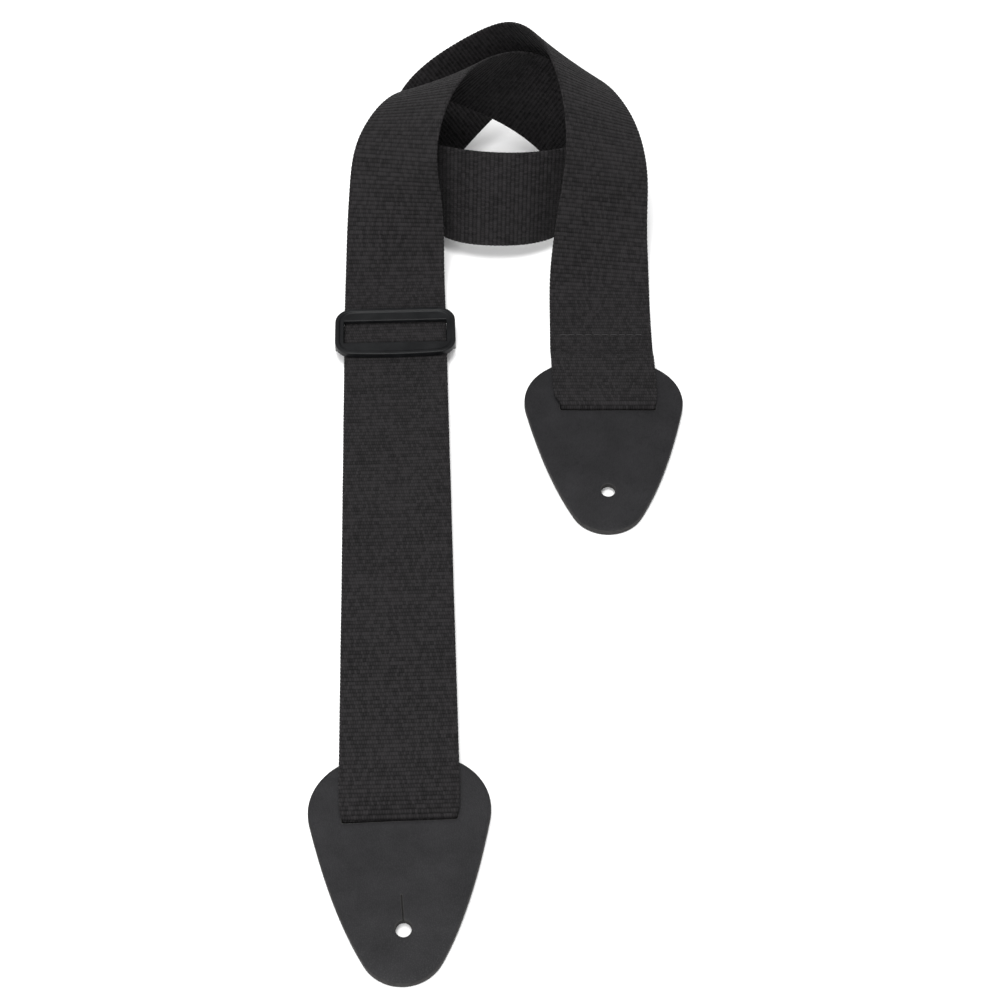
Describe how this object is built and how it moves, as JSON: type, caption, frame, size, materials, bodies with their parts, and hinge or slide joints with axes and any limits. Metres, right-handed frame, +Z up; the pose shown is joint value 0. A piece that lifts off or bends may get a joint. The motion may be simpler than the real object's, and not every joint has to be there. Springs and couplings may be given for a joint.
{
  "type": "guitar strap",
  "caption": "Adjustable guitar strap: wide ribbed black webbing, leather ends with button holes, and a plastic three-bar slider, lying with its middle looped up.",
  "frame": {"origin": "bottom centre of the strap's box as it lies, on the surface it lies on", "axes": "+Y from the leather ends to the loop, along the straight legs; +Z up; +X towards the shorter leg"},
  "size_m": [0.1715, 0.5371, 0.0842],
  "materials": {
    "webbing": "matte ribbed polypropylene webbing, black",
    "leather": "fine grain, low sheen, black",
    "plastic": "satin moulded plastic, black",
    "thread": "polyester sewing thread, dark grey"
  },
  "bodies": {
    "root": {"webbing_left_front": "webbing", "webbing_left_rise": "webbing", "webbing_left_crest": "webbing", "webbing_right_turn": "webbing", "webbing_front_band": "webbing", "webbing_left_turn": "webbing", "webbing_right_crest": "webbing", "webbing_right_rise": "webbing", "webbing_right_seam": "webbing", "webbing_right_tail": "webbing", "stitch_right_seam": "thread"},
    "left_lower_webbing": {"webbing_left_lower_front": "webbing", "webbing_left_lower_back": "webbing"},
    "slider": {"slider_frame": "plastic", "webbing_bar_flap": "webbing", "webbing_bar_turn": "webbing", "stitch_bar_flap_1": "thread", "stitch_bar_flap_2": "thread", "webbing_left_back": "webbing"},
    "left_end": {"leather_end_left": "leather", "webbing_left_slot_fold": "webbing", "webbing_left_over_leather": "webbing", "webbing_left_under_leather": "webbing"},
    "right_end": {"leather_end_right": "leather", "webbing_right_slot_fold": "webbing", "webbing_right_over_leather": "webbing", "webbing_right_under_leather": "webbing"}
  },
  "joints": [
    {"name": "strap_lengthening", "type": "slide", "parent": "root", "child": "left_lower_webbing", "axis": [0.0349, -0.9994, 0], "range_m": [0, 0.11], "deforming": ["webbing_left_front"]},
    {"name": "slider_travel", "type": "slide", "parent": "left_lower_webbing", "child": "slider", "axis": [0.0349, -0.9994, 0], "range_m": [0, 0.11], "deforming": ["webbing_left_back"]},
    {"name": "left_end_bend", "type": "hinge", "parent": "left_lower_webbing", "child": "left_end", "pos_m": [-0.04866, -0.14584, 0.0073], "axis": [-0.9994, -0.0349, 0], "range_deg": [0, 90]},
    {"name": "right_end_bend", "type": "hinge", "parent": "root", "child": "right_end", "pos_m": [0.0455, 0.094, 0.0034], "axis": [-1, 0, 0], "range_deg": [0, 90]}
  ],
  "couplings": [
    {"joint": "slider_travel", "follows": "strap_lengthening", "ratio": 1}
  ]
}
